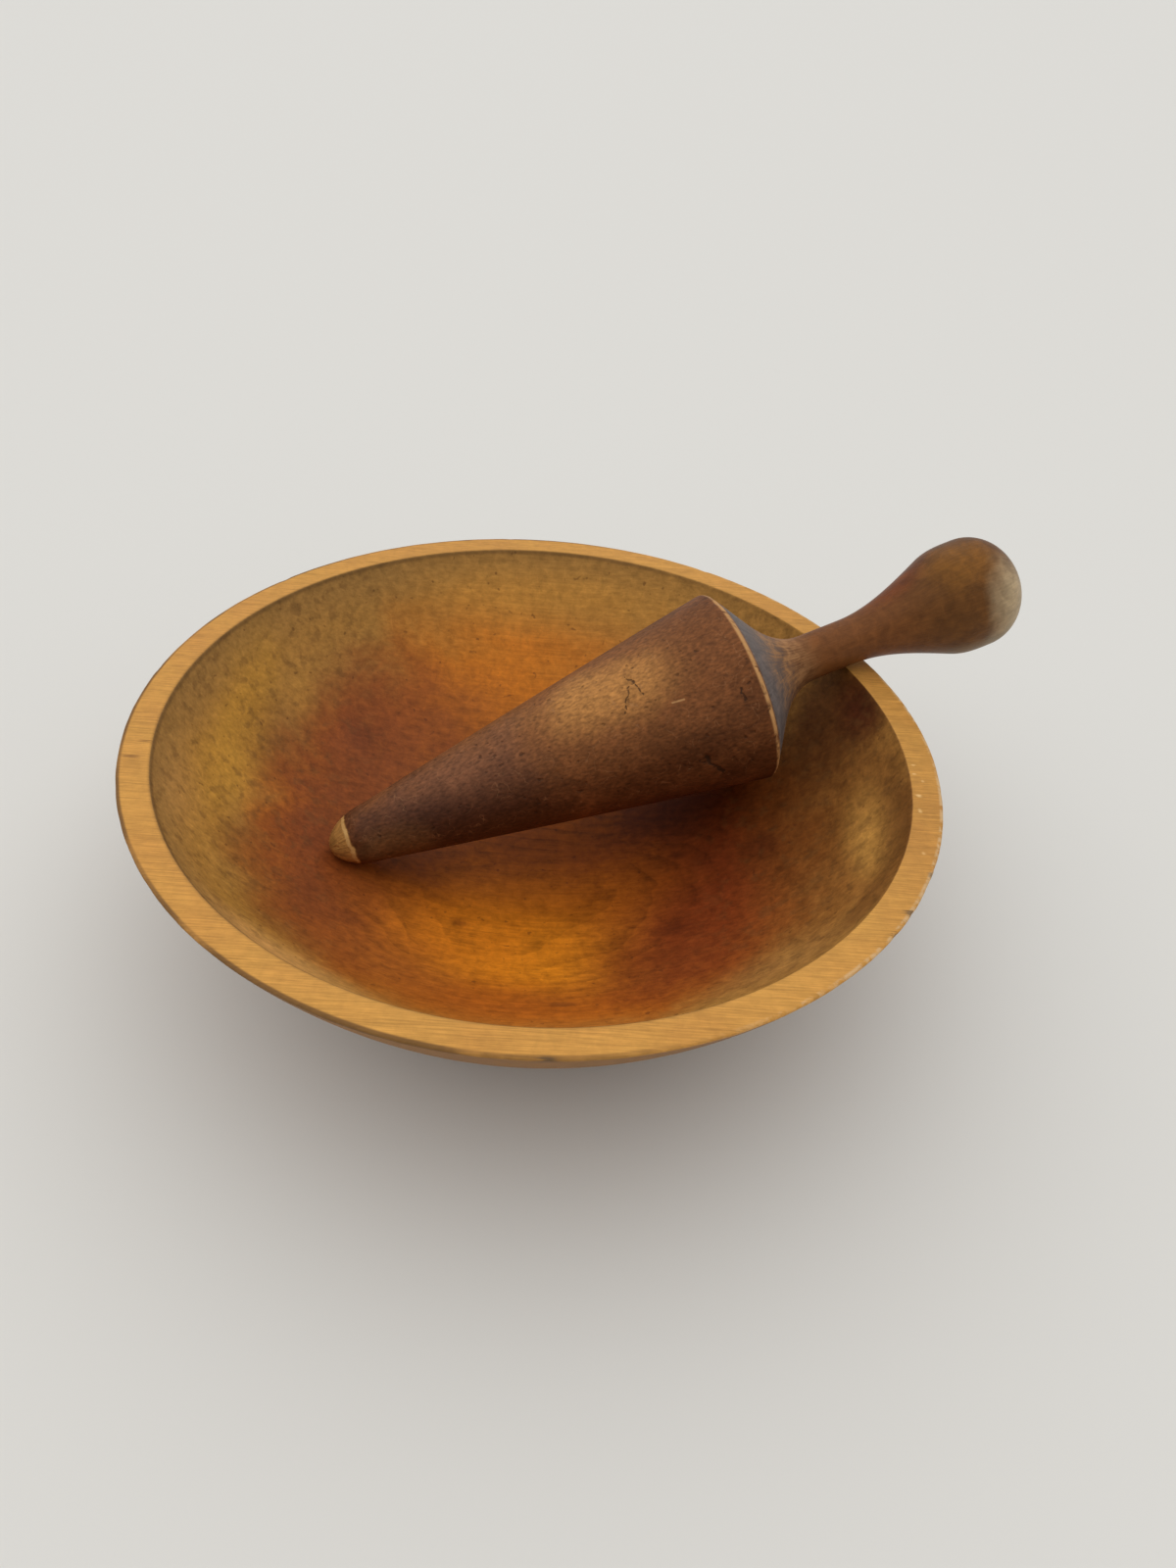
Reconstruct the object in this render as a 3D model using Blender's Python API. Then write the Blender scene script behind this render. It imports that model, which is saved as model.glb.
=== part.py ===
"""A turned wooden bowl with the turned wooden pestle that lies in it.

Units are metres and +Z is up.  The origin is the centre of the bowl's flat base.
Both pieces are lathe work: each is one closed outline of (radius, height) points
turned about its own axis.
"""

from math import asin, atan2, cos, hypot, pi, radians, sin

import bmesh
import bpy

MM = 0.001

# Bowl
RIM_OUTER_RADIUS = 130.5 * MM
RIM_INNER_RADIUS = 120.3 * MM
BOWL_HEIGHT = 76.0 * MM
FLOOR_THICKNESS = 8.2 * MM
FLOOR_CURVE_RADIUS = 150.0 * MM
FLOOR_CURVE_REACH = 84.0 * MM
BASE_RADIUS = 52.0 * MM
BASE_EDGE_ROUND = 1.2 * MM
RIM_OUTER_ROUND = 1.6 * MM
RIM_INNER_ROUND = 0.6 * MM
OUTER_WALL_FOOT_SLOPE = radians(27.0)
BOWL_SEGMENTS = 72

# Pestle, measured along its own axis from the tip of the nose
NOSE_LENGTH = 15.4 * MM
NOSE_RADIUS = 10.3 * MM
NOSE_POWER = 1.63
CONE_END = 150.2 * MM
CONE_END_RADIUS = 34.4 * MM
CONE_SWELL = 0.35 * MM
EDGE_ROUND = 1.6 * MM
SHOULDER_START = 152.7 * MM
SHOULDER_START_RADIUS = 33.3 * MM
SHOULDER_SLOPE = -1.40
SHOULDER_END = 162.0 * MM
NECK_START = 180.0 * MM
NECK_END = 196.0 * MM
NECK_RADIUS = 8.3 * MM
FLARE_END = 232.0 * MM
FLARE_RADIUS = 18.4 * MM
FLARE_SLOPE = 0.42
KNOB_AT = 246.0 * MM
KNOB_RADIUS = 20.1 * MM
PESTLE_LENGTH = 262.8 * MM
PESTLE_SEGMENTS = 36

# Where the pestle lies: its nose, the compass turn of its axis, and its rise
PESTLE_NOSE = (-68.6 * MM, -11.0 * MM, 28.0 * MM)
PESTLE_TURN = radians(20.3)
PESTLE_RISE = radians(16.9)


def clear_scene():
    """Start from an empty file."""
    for item in list(bpy.data.objects):
        bpy.data.objects.remove(item, do_unlink=True)


def wood(name, colour, roughness):
    """A plain oiled-wood material."""
    material = bpy.data.materials.new(name)
    material.use_nodes = True
    shader = material.node_tree.nodes["Principled BSDF"]
    shader.inputs["Base Color"].default_value = (*colour, 1.0)
    shader.inputs["Roughness"].default_value = roughness
    shader.inputs["Metallic"].default_value = 0.0
    material.diffuse_color = (*colour, 1.0)
    return material


def arc_to(start, slope, end, steps):
    """Points after start on the arc that leaves it at the slope and reaches end."""
    across, rise = end[0] - start[0], end[1] - start[1]
    chord = hypot(across, rise)
    half_turn = atan2(rise, across) - slope
    radius = chord / (2 * sin(half_turn))
    points = []
    for step in range(1, steps + 1):
        turned = 2 * half_turn * step / steps
        reach = 2 * radius * sin(turned / 2)
        heading = slope + turned / 2
        points.append((start[0] + reach * cos(heading), start[1] + reach * sin(heading)))
    return points


def curve_to(start, start_slope, end, end_slope, steps):
    """Points after start on a cubic that meets both ends at their slopes."""
    span = end[0] - start[0]
    points = []
    for step in range(1, steps + 1):
        t = step / steps
        value = (
            (2 * t**3 - 3 * t**2 + 1) * start[1]
            + (t**3 - 2 * t**2 + t) * span * start_slope
            + (3 * t**2 - 2 * t**3) * end[1]
            + (t**3 - t**2) * span * end_slope
        )
        points.append((start[0] + span * t, value))
    return points


def rounded(before, corner, after, radius, steps):
    """Points of a small rounding that replaces the corner between two lines."""
    points = []
    first = towards(corner, before, radius)
    last = towards(corner, after, radius)
    for step in range(steps + 1):
        t = step / steps
        weights = ((1 - t) ** 2, 2 * t * (1 - t), t**2)
        points.append(tuple(
            weights[0] * first[axis] + weights[1] * corner[axis] + weights[2] * last[axis]
            for axis in (0, 1)
        ))
    return points


def towards(start, end, distance):
    """The point at this distance from start on the way to end."""
    length = hypot(end[0] - start[0], end[1] - start[1])
    share = distance / length
    return (start[0] + (end[0] - start[0]) * share, start[1] + (end[1] - start[1]) * share)


def bowl_outline():
    """(radius, height) from the middle of the hollow, over the rim, to the middle of the base."""
    floor_centre = FLOOR_THICKNESS + FLOOR_CURVE_RADIUS
    floor_angle = asin(FLOOR_CURVE_REACH / FLOOR_CURVE_RADIUS)
    rim_inner = (RIM_INNER_RADIUS, BOWL_HEIGHT)
    rim_outer = (RIM_OUTER_RADIUS, BOWL_HEIGHT)
    foot = (BASE_RADIUS, 0.0)

    outline = [(0.0, FLOOR_THICKNESS)]
    floor_steps = 9
    for step in range(1, floor_steps + 1):
        angle = floor_angle * step / floor_steps
        outline.append((
            FLOOR_CURVE_RADIUS * sin(angle),
            floor_centre - FLOOR_CURVE_RADIUS * cos(angle),
        ))
    inner_wall = arc_to(outline[-1], floor_angle, rim_inner, 8)
    outer_wall = arc_to(foot, OUTER_WALL_FOOT_SLOPE, rim_outer, 12)
    outline += inner_wall[:-1]
    outline += rounded(inner_wall[-2], rim_inner, rim_outer, RIM_INNER_ROUND, 2)
    outline += rounded(rim_inner, rim_outer, outer_wall[-2], RIM_OUTER_ROUND, 3)
    outline += reversed(outer_wall[:-1])
    outline += rounded(outer_wall[0], foot, (0.0, 0.0), BASE_EDGE_ROUND, 2)
    outline.append((0.0, 0.0))
    return outline


def nose_points(steps):
    """(distance, radius) round the blunt nose, after its tip."""
    points = []
    for step in range(1, steps + 1):
        along = (step / steps) ** 1.6
        radius = NOSE_RADIUS * (1 - (1 - along) ** NOSE_POWER) ** 0.5
        points.append((NOSE_LENGTH * along, radius))
    return points


def cone_points(steps):
    """(distance, radius) up the cone, which swells slightly between its ends."""
    points = []
    for step in range(1, steps + 1):
        along = step / steps
        straight = NOSE_RADIUS + (CONE_END_RADIUS - NOSE_RADIUS) * along
        swell = CONE_SWELL * 4 * along * (1 - along)
        points.append((NOSE_LENGTH + (CONE_END - NOSE_LENGTH) * along, straight + swell))
    return points


def knob_end_points(steps):
    """(distance, radius) round the domed end of the knob, to the far end of the pestle."""
    points = []
    for step in range(1, steps):
        angle = pi / 2 * step / steps
        distance = KNOB_AT + (PESTLE_LENGTH - KNOB_AT) * sin(angle)
        points.append((distance, KNOB_RADIUS * cos(angle)))
    points.append((PESTLE_LENGTH, 0.0))
    return points


def pestle_outline():
    """(distance, radius) from the tip of the nose to the far end of the knob."""
    cone = nose_points(7) + cone_points(5)
    shoulder = (SHOULDER_START, SHOULDER_START_RADIUS)
    cone_slope = (CONE_END_RADIUS - NOSE_RADIUS) / (CONE_END - NOSE_LENGTH)
    corner = (SHOULDER_START - EDGE_ROUND / 2, CONE_END_RADIUS + cone_slope * EDGE_ROUND)
    shoulder_end = (
        SHOULDER_END,
        SHOULDER_START_RADIUS + SHOULDER_SLOPE * (SHOULDER_END - SHOULDER_START),
    )
    neck = (NECK_START, NECK_RADIUS)
    flare_start = (NECK_END, NECK_RADIUS)
    flare_end = (FLARE_END, FLARE_RADIUS)
    knob = (KNOB_AT, KNOB_RADIUS)

    outline = [(0.0, 0.0)]
    outline += cone
    outline += rounded(cone[-1], corner, shoulder, EDGE_ROUND, 3)
    outline.append(shoulder)
    outline.append(shoulder_end)
    outline += curve_to(shoulder_end, SHOULDER_SLOPE, neck, 0.0, 6)
    outline += curve_to(neck, 0.0, flare_start, 0.0, 2)
    outline += curve_to(flare_start, 0.0, flare_end, FLARE_SLOPE, 7)
    outline += curve_to(flare_end, FLARE_SLOPE, knob, 0.0, 4)
    outline += knob_end_points(7)
    return [(radius, distance) for distance, radius in outline]


def turned(name, outline, segments, material):
    """A solid of revolution about its own Z axis, from an outline that starts and ends on it."""
    mesh = bpy.data.meshes.new(name)
    shape = bmesh.new()
    rings = []
    for radius, height in outline[1:-1]:
        rings.append([
            shape.verts.new((
                radius * cos(2 * pi * step / segments),
                radius * sin(2 * pi * step / segments),
                height,
            ))
            for step in range(segments)
        ])
    first = shape.verts.new((0.0, 0.0, outline[0][1]))
    last = shape.verts.new((0.0, 0.0, outline[-1][1]))
    for step in range(segments):
        after = (step + 1) % segments
        shape.faces.new((first, rings[0][step], rings[0][after]))
        for inner, outer in zip(rings, rings[1:]):
            shape.faces.new((inner[step], outer[step], outer[after], inner[after]))
        shape.faces.new((rings[-1][step], last, rings[-1][after]))
    bmesh.ops.recalc_face_normals(shape, faces=shape.faces)
    shape.to_mesh(mesh)
    shape.free()
    mesh.materials.append(material)
    mesh.shade_smooth()
    mesh.set_sharp_from_angle(angle=radians(40.0))
    piece = bpy.data.objects.new(name, mesh)
    bpy.context.collection.objects.link(piece)
    return piece


def build():
    """Make the bowl, then the pestle in its resting place."""
    clear_scene()
    maple = wood("bowl_wood", (0.47, 0.25, 0.07), 0.5)
    stained = wood("pestle_wood", (0.13, 0.055, 0.03), 0.45)
    turned("bowl", bowl_outline(), BOWL_SEGMENTS, maple)
    pestle = turned("pestle", pestle_outline(), PESTLE_SEGMENTS, stained)
    pestle.location = PESTLE_NOSE
    pestle.rotation_euler = (0.0, pi / 2 - PESTLE_RISE, PESTLE_TURN)


build()
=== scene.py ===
"""The looks of an old turned wooden bowl with a cone-shaped wooden pestle lying in it."""
from math import asin, atan2, cos, hypot, pi, radians, sin

import bmesh
import bpy
import numpy as np
from mathutils import Euler, Matrix, Vector


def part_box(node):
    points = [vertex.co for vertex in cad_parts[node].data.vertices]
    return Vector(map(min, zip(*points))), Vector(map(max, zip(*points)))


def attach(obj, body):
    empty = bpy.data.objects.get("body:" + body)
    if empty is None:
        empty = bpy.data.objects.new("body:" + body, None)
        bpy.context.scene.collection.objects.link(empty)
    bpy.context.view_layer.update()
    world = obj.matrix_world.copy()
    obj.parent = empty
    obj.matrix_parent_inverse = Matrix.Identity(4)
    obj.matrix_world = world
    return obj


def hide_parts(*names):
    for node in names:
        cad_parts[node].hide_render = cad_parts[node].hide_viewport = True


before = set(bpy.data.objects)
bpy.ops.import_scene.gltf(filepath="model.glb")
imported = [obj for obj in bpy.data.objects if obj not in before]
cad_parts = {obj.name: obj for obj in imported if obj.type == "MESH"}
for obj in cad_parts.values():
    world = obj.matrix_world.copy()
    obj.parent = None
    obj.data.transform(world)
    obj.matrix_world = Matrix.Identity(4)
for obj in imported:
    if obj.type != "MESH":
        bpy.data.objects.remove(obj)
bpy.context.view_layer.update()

MM = 0.001

# Bowl: the overall size is the frame's, the rest as in the part
BOWL_LOW, BOWL_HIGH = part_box("bowl")
BOWL_HEIGHT = BOWL_HIGH.z
RIM_CORNER_CUT = 0.5 * MM    # what the outer rounding takes off the sharp corner
RIM_OUTER_RADIUS = (BOWL_HIGH.x - BOWL_LOW.x) / 2 + RIM_CORNER_CUT
RIM_INNER_RADIUS = 120.3 * MM
RIM_WIDTH = RIM_OUTER_RADIUS - RIM_INNER_RADIUS
FLOOR_THICKNESS = 8.2 * MM
FLOOR_CURVE_RADIUS = 150.0 * MM
FLOOR_CURVE_REACH = 84.0 * MM
BASE_RADIUS = 52.0 * MM
BASE_EDGE_ROUND = 1.2 * MM
RIM_OUTER_ROUND = 1.6 * MM
RIM_INNER_ROUND = 0.6 * MM
OUTER_WALL_FOOT_SLOPE = radians(27.0)
BOWL_SEGMENTS = 420

# Pestle, along its own axis from the tip of its nose
NOSE_LENGTH = 15.4 * MM
NOSE_RADIUS = 10.3 * MM
NOSE_POWER = 1.63
CONE_END = 150.2 * MM
CONE_END_RADIUS = 34.4 * MM
CONE_SWELL = 0.35 * MM
EDGE_ROUND = 1.6 * MM
SHOULDER_START = 152.7 * MM
SHOULDER_START_RADIUS = 33.3 * MM
SHOULDER_SLOPE = -1.40
SHOULDER_END = 162.0 * MM
NECK_START = 180.0 * MM
NECK_END = 196.0 * MM
NECK_RADIUS = 8.3 * MM
FLARE_END = 232.0 * MM
FLARE_RADIUS = 18.4 * MM
FLARE_SLOPE = 0.42
KNOB_AT = 246.0 * MM
KNOB_RADIUS = 20.1 * MM
PESTLE_LENGTH = 262.8 * MM
PESTLE_SEGMENTS = 240
PESTLE_NOSE = (-68.6 * MM, -11.0 * MM, 28.0 * MM)
PESTLE_TURN = radians(20.3)
PESTLE_RISE = radians(16.9)

# How many steps each stretch of the outlines takes
HOLLOW_FLOOR_STEPS = 60
INNER_WALL_STEPS = 44
OUTER_WALL_STEPS = 56
RIM_STEPS = 12
BASE_STEPS = 14
FINE_ROUND_STEPS = 4
ROUND_STEPS = 8
NOSE_STEPS = 40
NOSE_CROWDING = 1.6      # a power above 1 puts more of the nose's steps at its tip
CONE_STEPS = 140
SHOULDER_STEPS = 14
SHOULDER_CURVE_STEPS = 26
NECK_STEPS = 16
FLARE_STEPS = 36
KNOB_START_STEPS = 14
KNOB_END_STEPS = 36

# Camera: a hand-held phone over the near side of the bowl
CAMERA_AT = Vector((0.0, -0.305, 0.307))
CAMERA_AIM = Vector((0.021, 0.067, 0.0))
CAMERA_ROLL = radians(6.0)
CAMERA_LENS = 27.0
CAMERA_SENSOR = 36.0
CAMERA_CLIP_START = 0.01

# Floor and light
FLOOR_HALF_WIDTH = 40.0
FLOOR_DROP = 0.3 * MM    # how far the floor lies under the base
FLOOR_COLOUR = (223, 221, 216)
FLOOR_ROUGHNESS = 0.9
ROOM_COLOUR = (0.97, 0.985, 1.0, 1.0)
ROOM_STRENGTH = 0.56
SKY_COLOUR = (1.0, 0.985, 0.96)
SKY_STRENGTH = 1.38
SKY_SPREAD = radians(110.0)
SKY_DIRECTION = Vector((0.16, -0.20, -1.0))


# ---------------------------------------------------------------- outlines

def arc_to(start, slope, end, steps):
    """Points after start on the arc that leaves it at the slope and reaches end."""
    across, rise = end[0] - start[0], end[1] - start[1]
    half_turn = atan2(rise, across) - slope
    radius = hypot(across, rise) / (2 * sin(half_turn))
    points = []
    for step in range(1, steps + 1):
        turned = 2 * half_turn * step / steps
        reach = 2 * radius * sin(turned / 2)
        heading = slope + turned / 2
        points.append((start[0] + reach * cos(heading), start[1] + reach * sin(heading)))
    return points


def curve_to(start, start_slope, end, end_slope, steps):
    """Points after start on a cubic that meets both ends at their slopes."""
    span = end[0] - start[0]
    points = []
    for step in range(1, steps + 1):
        t = step / steps
        value = (
            (2 * t**3 - 3 * t**2 + 1) * start[1]
            + (t**3 - 2 * t**2 + t) * span * start_slope
            + (3 * t**2 - 2 * t**3) * end[1]
            + (t**3 - t**2) * span * end_slope
        )
        points.append((start[0] + span * t, value))
    return points


def line_to(start, end, steps):
    """Points after start on a straight line to end."""
    return [
        (start[0] + (end[0] - start[0]) * step / steps, start[1] + (end[1] - start[1]) * step / steps)
        for step in range(1, steps + 1)
    ]


def towards(start, end, distance):
    """The point at this distance from start on the way to end."""
    share = distance / hypot(end[0] - start[0], end[1] - start[1])
    return (start[0] + (end[0] - start[0]) * share, start[1] + (end[1] - start[1]) * share)


def rounded(before, corner, after, radius, steps):
    """Points of a small rounding that replaces the corner between two lines."""
    first = towards(corner, before, radius)
    last = towards(corner, after, radius)
    points = []
    for step in range(steps + 1):
        t = step / steps
        weights = ((1 - t) ** 2, 2 * t * (1 - t), t**2)
        points.append(tuple(
            weights[0] * first[axis] + weights[1] * corner[axis] + weights[2] * last[axis]
            for axis in (0, 1)
        ))
    return points


def bowl_outline():
    """(radius, height) from the middle of the hollow, over the rim, to the middle of the base."""
    floor_centre = FLOOR_THICKNESS + FLOOR_CURVE_RADIUS
    floor_angle = asin(FLOOR_CURVE_REACH / FLOOR_CURVE_RADIUS)
    rim_inner = (RIM_INNER_RADIUS, BOWL_HEIGHT)
    rim_outer = (RIM_OUTER_RADIUS, BOWL_HEIGHT)
    foot = (BASE_RADIUS, 0.0)

    outline = [(0.0, FLOOR_THICKNESS)]
    for step in range(1, HOLLOW_FLOOR_STEPS + 1):
        angle = floor_angle * step / HOLLOW_FLOOR_STEPS
        outline.append((
            FLOOR_CURVE_RADIUS * sin(angle),
            floor_centre - FLOOR_CURVE_RADIUS * cos(angle),
        ))
    inner_wall = arc_to(outline[-1], floor_angle, rim_inner, INNER_WALL_STEPS)
    outer_wall = arc_to(foot, OUTER_WALL_FOOT_SLOPE, rim_outer, OUTER_WALL_STEPS)
    outline += inner_wall[:-1]
    inner_round = rounded(
        inner_wall[-2], rim_inner, rim_outer, RIM_INNER_ROUND, FINE_ROUND_STEPS
    )
    outer_round = rounded(rim_inner, rim_outer, outer_wall[-3], RIM_OUTER_ROUND, ROUND_STEPS)
    outline += inner_round
    outline += line_to(inner_round[-1], outer_round[0], RIM_STEPS)[:-1]
    outline += outer_round
    outline += reversed(outer_wall[:-2])
    base_round = rounded(outer_wall[0], foot, (0.0, 0.0), BASE_EDGE_ROUND, FINE_ROUND_STEPS)
    outline += base_round
    outline += line_to(base_round[-1], (0.0, 0.0), BASE_STEPS)
    return outline


def nose_and_cone():
    """(distance, radius) after the tip, along the nose and the slightly swelling cone."""
    nose = []
    for step in range(1, NOSE_STEPS + 1):
        along = (step / NOSE_STEPS) ** NOSE_CROWDING
        radius = NOSE_RADIUS * (1 - (1 - along) ** NOSE_POWER) ** 0.5
        nose.append((NOSE_LENGTH * along, radius))
    cone = []
    for step in range(1, CONE_STEPS + 1):
        along = step / CONE_STEPS
        straight = NOSE_RADIUS + (CONE_END_RADIUS - NOSE_RADIUS) * along
        swell = CONE_SWELL * 4 * along * (1 - along)
        cone.append((NOSE_LENGTH + (CONE_END - NOSE_LENGTH) * along, straight + swell))
    return nose + cone


def pestle_outline():
    """(radius, distance) from the tip of the nose to the far end of the knob."""
    shoulder = (SHOULDER_START, SHOULDER_START_RADIUS)
    cone_slope = (CONE_END_RADIUS - NOSE_RADIUS) / (CONE_END - NOSE_LENGTH)
    corner = (SHOULDER_START - EDGE_ROUND / 2, CONE_END_RADIUS + cone_slope * EDGE_ROUND)
    shoulder_end = (
        SHOULDER_END,
        SHOULDER_START_RADIUS + SHOULDER_SLOPE * (SHOULDER_END - SHOULDER_START),
    )
    neck = (NECK_START, NECK_RADIUS)
    flare_start = (NECK_END, NECK_RADIUS)
    flare_end = (FLARE_END, FLARE_RADIUS)
    knob = (KNOB_AT, KNOB_RADIUS)

    outline = [(0.0, 0.0)] + nose_and_cone()
    outline += rounded(outline[-1], corner, shoulder, EDGE_ROUND, ROUND_STEPS)
    outline += line_to(outline[-1], shoulder_end, SHOULDER_STEPS)
    outline += curve_to(shoulder_end, SHOULDER_SLOPE, neck, 0.0, SHOULDER_CURVE_STEPS)
    outline += curve_to(neck, 0.0, flare_start, 0.0, NECK_STEPS)
    outline += curve_to(flare_start, 0.0, flare_end, FLARE_SLOPE, FLARE_STEPS)
    outline += curve_to(flare_end, FLARE_SLOPE, knob, 0.0, KNOB_START_STEPS)
    for step in range(1, KNOB_END_STEPS):
        angle = pi / 2 * step / KNOB_END_STEPS
        distance = KNOB_AT + (PESTLE_LENGTH - KNOB_AT) * sin(angle)
        outline.append((distance, KNOB_RADIUS * cos(angle)))
    outline.append((PESTLE_LENGTH, 0.0))
    return [(radius, distance) for distance, radius in outline]


# ---------------------------------------------------------------- meshes

def lathe_faces(rings, segments):
    """Quads between the rings and a fan at each end, whose two points come after the rings'."""
    step = np.arange(segments)
    after = (step + 1) % segments
    faces = []
    for ring in range(rings - 1):
        low, high = ring * segments, (ring + 1) * segments
        faces += np.stack([low + step, high + step, high + after, low + after], axis=1).tolist()
    first, last = rings * segments, rings * segments + 1
    end = (rings - 1) * segments
    faces += [(first, int(a), int(b)) for a, b in zip(step, after)]
    faces += [(end + int(a), last, end + int(b)) for a, b in zip(step, after)]
    return faces


def face_outwards(mesh):
    """Turns the faces of a closed mesh so that all of them face outwards."""
    shape = bmesh.new()
    shape.from_mesh(mesh)
    bmesh.ops.recalc_face_normals(shape, faces=shape.faces)
    shape.to_mesh(mesh)
    shape.free()


def store(mesh, name, kind, field, values):
    """Keeps one number or vector for each point of the mesh, for its material."""
    attribute = mesh.attributes.new(name, kind, "POINT")
    attribute.data.foreach_set(field, values.astype(np.float32).ravel())


def turned(name, outline, segments, zero_point, wear):
    """A lathe-turned solid about its own Z axis. The attribute "outline" holds each point's
    distance along the outline from its zero point, and "place" its position about that axis,
    both in metres."""
    points = np.array(outline)
    lengths = np.concatenate([[0.0], np.cumsum(np.hypot(*np.diff(points, axis=0).T))])
    zero = np.hypot(*(points - np.array(zero_point)).T).argmin()
    lengths = lengths - lengths[zero]

    angles = 2 * pi * np.arange(segments) / segments
    rings = points[1:-1]
    ring_points = np.stack([
        rings[:, None, 0] * np.cos(angles),
        rings[:, None, 0] * np.sin(angles),
        np.repeat(rings[:, None, 1], segments, axis=1),
    ], axis=-1).reshape(-1, 3)
    vertices = np.vstack([ring_points, [0.0, 0.0, points[0, 1]], [0.0, 0.0, points[-1, 1]]])
    along = np.concatenate([np.repeat(lengths[1:-1], segments), [lengths[0], lengths[-1]]])
    vertices = wear(vertices, along)

    mesh = bpy.data.meshes.new(name)
    mesh.from_pydata(vertices.tolist(), [], lathe_faces(len(rings), segments))
    face_outwards(mesh)
    store(mesh, "outline", "FLOAT", "value", along)
    store(mesh, "place", "FLOAT_VECTOR", "vector", vertices)
    mesh.shade_smooth()
    piece = bpy.data.objects.new(name, mesh)
    bpy.context.collection.objects.link(piece)
    return piece


def pressed(vertices, centre, size, depth, inwards):
    """Vertices with a soft dent pressed in at centre, along the direction inwards."""
    distance = np.linalg.norm(vertices - np.array(centre), axis=1) / size
    push = depth * np.clip(1 - distance**2, 0, None) ** 2
    return vertices + push[:, None] * np.array(inwards)


def ripple(vertices, seed, waves, count):
    """A smooth random value, mostly between -1 and 1, at each vertex."""
    source = np.random.default_rng(seed)
    total = np.zeros(len(vertices))
    for _ in range(count):
        direction = source.normal(size=3)
        direction *= source.uniform(*waves) / np.linalg.norm(direction)
        total += np.sin(vertices @ direction + source.uniform(0, 2 * pi))
    return total / count**0.5


# Knocks on the rim's outer edge: angle from +X in degrees, size and depth in millimetres
RIM_KNOCKS = (
    (-33.6, 2.6, 0.45), (-38.7, 2.4, 0.4), (-28, 1.6, 0.25), (-23.7, 2.0, 0.3), (-86.7, 1.4, 0.4),
    (-101, 2.4, 0.2), (-124, 3.0, 0.25), (-150, 2.0, 0.2), (171, 2.2, 0.2), (140, 3.2, 0.25),
    (98, 2.0, 0.25), (62, 2.6, 0.3), (12, 1.8, 0.2), (-8, 1.5, 0.2), (-61, 2.0, 0.2), (-71.9, 2.0, 0.2),
)

# How far a knock goes in, and how far down, for each unit of its depth: about 45 degrees
KNOCK_SLANT = 0.7

# Small dings on the rim's flat, and the wear along its outer edge
DING_COUNT = 26
DING_SEED = 7
DING_MARGIN = 2 * MM     # how far they stay from the rim's two edges
DING_SIZES = (0.8, 2.0)
DING_DEPTH = 0.12 * MM
EDGE_WEAR_DEPTH = 0.06 * MM
EDGE_WEAR_REACH = 1.6 * MM
EDGE_WEAR_SEED = 11
EDGE_WEAR_WAVES = (150, 900)
EDGE_WEAR_WAVE_COUNT = 12


def knock_rim(vertices):
    """Knocks pressed slantwise into the rim's outer edge."""
    for degrees, size, depth in RIM_KNOCKS:
        angle = radians(degrees)
        outwards = np.array((cos(angle), sin(angle), 0.0))
        centre = outwards * RIM_OUTER_RADIUS + np.array((0.0, 0.0, BOWL_HEIGHT))
        inwards = -outwards * KNOCK_SLANT + np.array((0.0, 0.0, -KNOCK_SLANT))
        vertices = pressed(vertices, centre, size * MM, depth * MM, inwards)
    return vertices


def ding_rim(vertices):
    """Shallow dings at random places on the rim's flat."""
    source = np.random.default_rng(DING_SEED)
    for _ in range(DING_COUNT):
        angle = source.uniform(0, 2 * pi)
        radius = source.uniform(RIM_INNER_RADIUS + DING_MARGIN, RIM_OUTER_RADIUS - DING_MARGIN)
        centre = (radius * cos(angle), radius * sin(angle), BOWL_HEIGHT)
        size = source.uniform(*DING_SIZES) * MM
        vertices = pressed(vertices, centre, size, DING_DEPTH, (0.0, 0.0, -1.0))
    return vertices


def bowl_wear(vertices, along):
    """Knocks on the rim's outer edge, small dings on its flat and a hand-worn edge."""
    vertices = ding_rim(knock_rim(vertices))
    near_edge = np.exp(-((along - RIM_WIDTH) / EDGE_WEAR_REACH) ** 2)
    uneven = 1 + ripple(vertices, EDGE_WEAR_SEED, EDGE_WEAR_WAVES, EDGE_WEAR_WAVE_COUNT)
    depth = EDGE_WEAR_DEPTH * near_edge * uneven
    radial = vertices * np.array((1.0, 1.0, 0.0))
    radial /= np.maximum(np.linalg.norm(radial, axis=1), 1e-9)[:, None]
    return vertices - radial * depth[:, None]


# Knocks on the pestle: distance along it in millimetres, angle in degrees, size and depth in
# millimetres; its -X side lies upwards
PESTLE_KNOCKS = (
    (8.6, -160, 2.6, 0.5), (9.4, -110, 3.0, 0.4), (7.6, 150, 2.4, 0.4), (10.0, -60, 2.2, 0.3),
    (152.0, -95, 2.2, 0.5), (152.0, -112, 1.6, 0.4), (152.0, -140, 2.0, 0.3),
    (152.0, 170, 2.6, 0.5), (152.0, 120, 2.0, 0.4), (152.0, -60, 1.8, 0.4), (152.0, 60, 2.4, 0.4),
    (124.0, -138, 2.2, 0.25), (129.0, -94, 3.0, 0.35), (113.0, -163, 2.6, 0.3),
    (58.0, -150, 2.0, 0.2), (80.0, -120, 2.4, 0.2), (96.0, 150, 2.6, 0.25),
)


def pestle_wear(vertices, _):
    """Knocks round the nose, the cone and its sharp edge."""
    radii = np.interp(vertices[:, 2], *np.array(pestle_outline())[:, ::-1].T)
    for distance, degrees, size, depth in PESTLE_KNOCKS:
        angle = radians(degrees)
        outwards = np.array((cos(angle), sin(angle), 0.0))
        radius = radii[np.abs(vertices[:, 2] - distance * MM).argmin()]
        centre = outwards * radius + np.array((0.0, 0.0, distance * MM))
        vertices = pressed(vertices, centre, size * MM, depth * MM, -outwards)
    return vertices


# ---------------------------------------------------------------- materials

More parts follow.
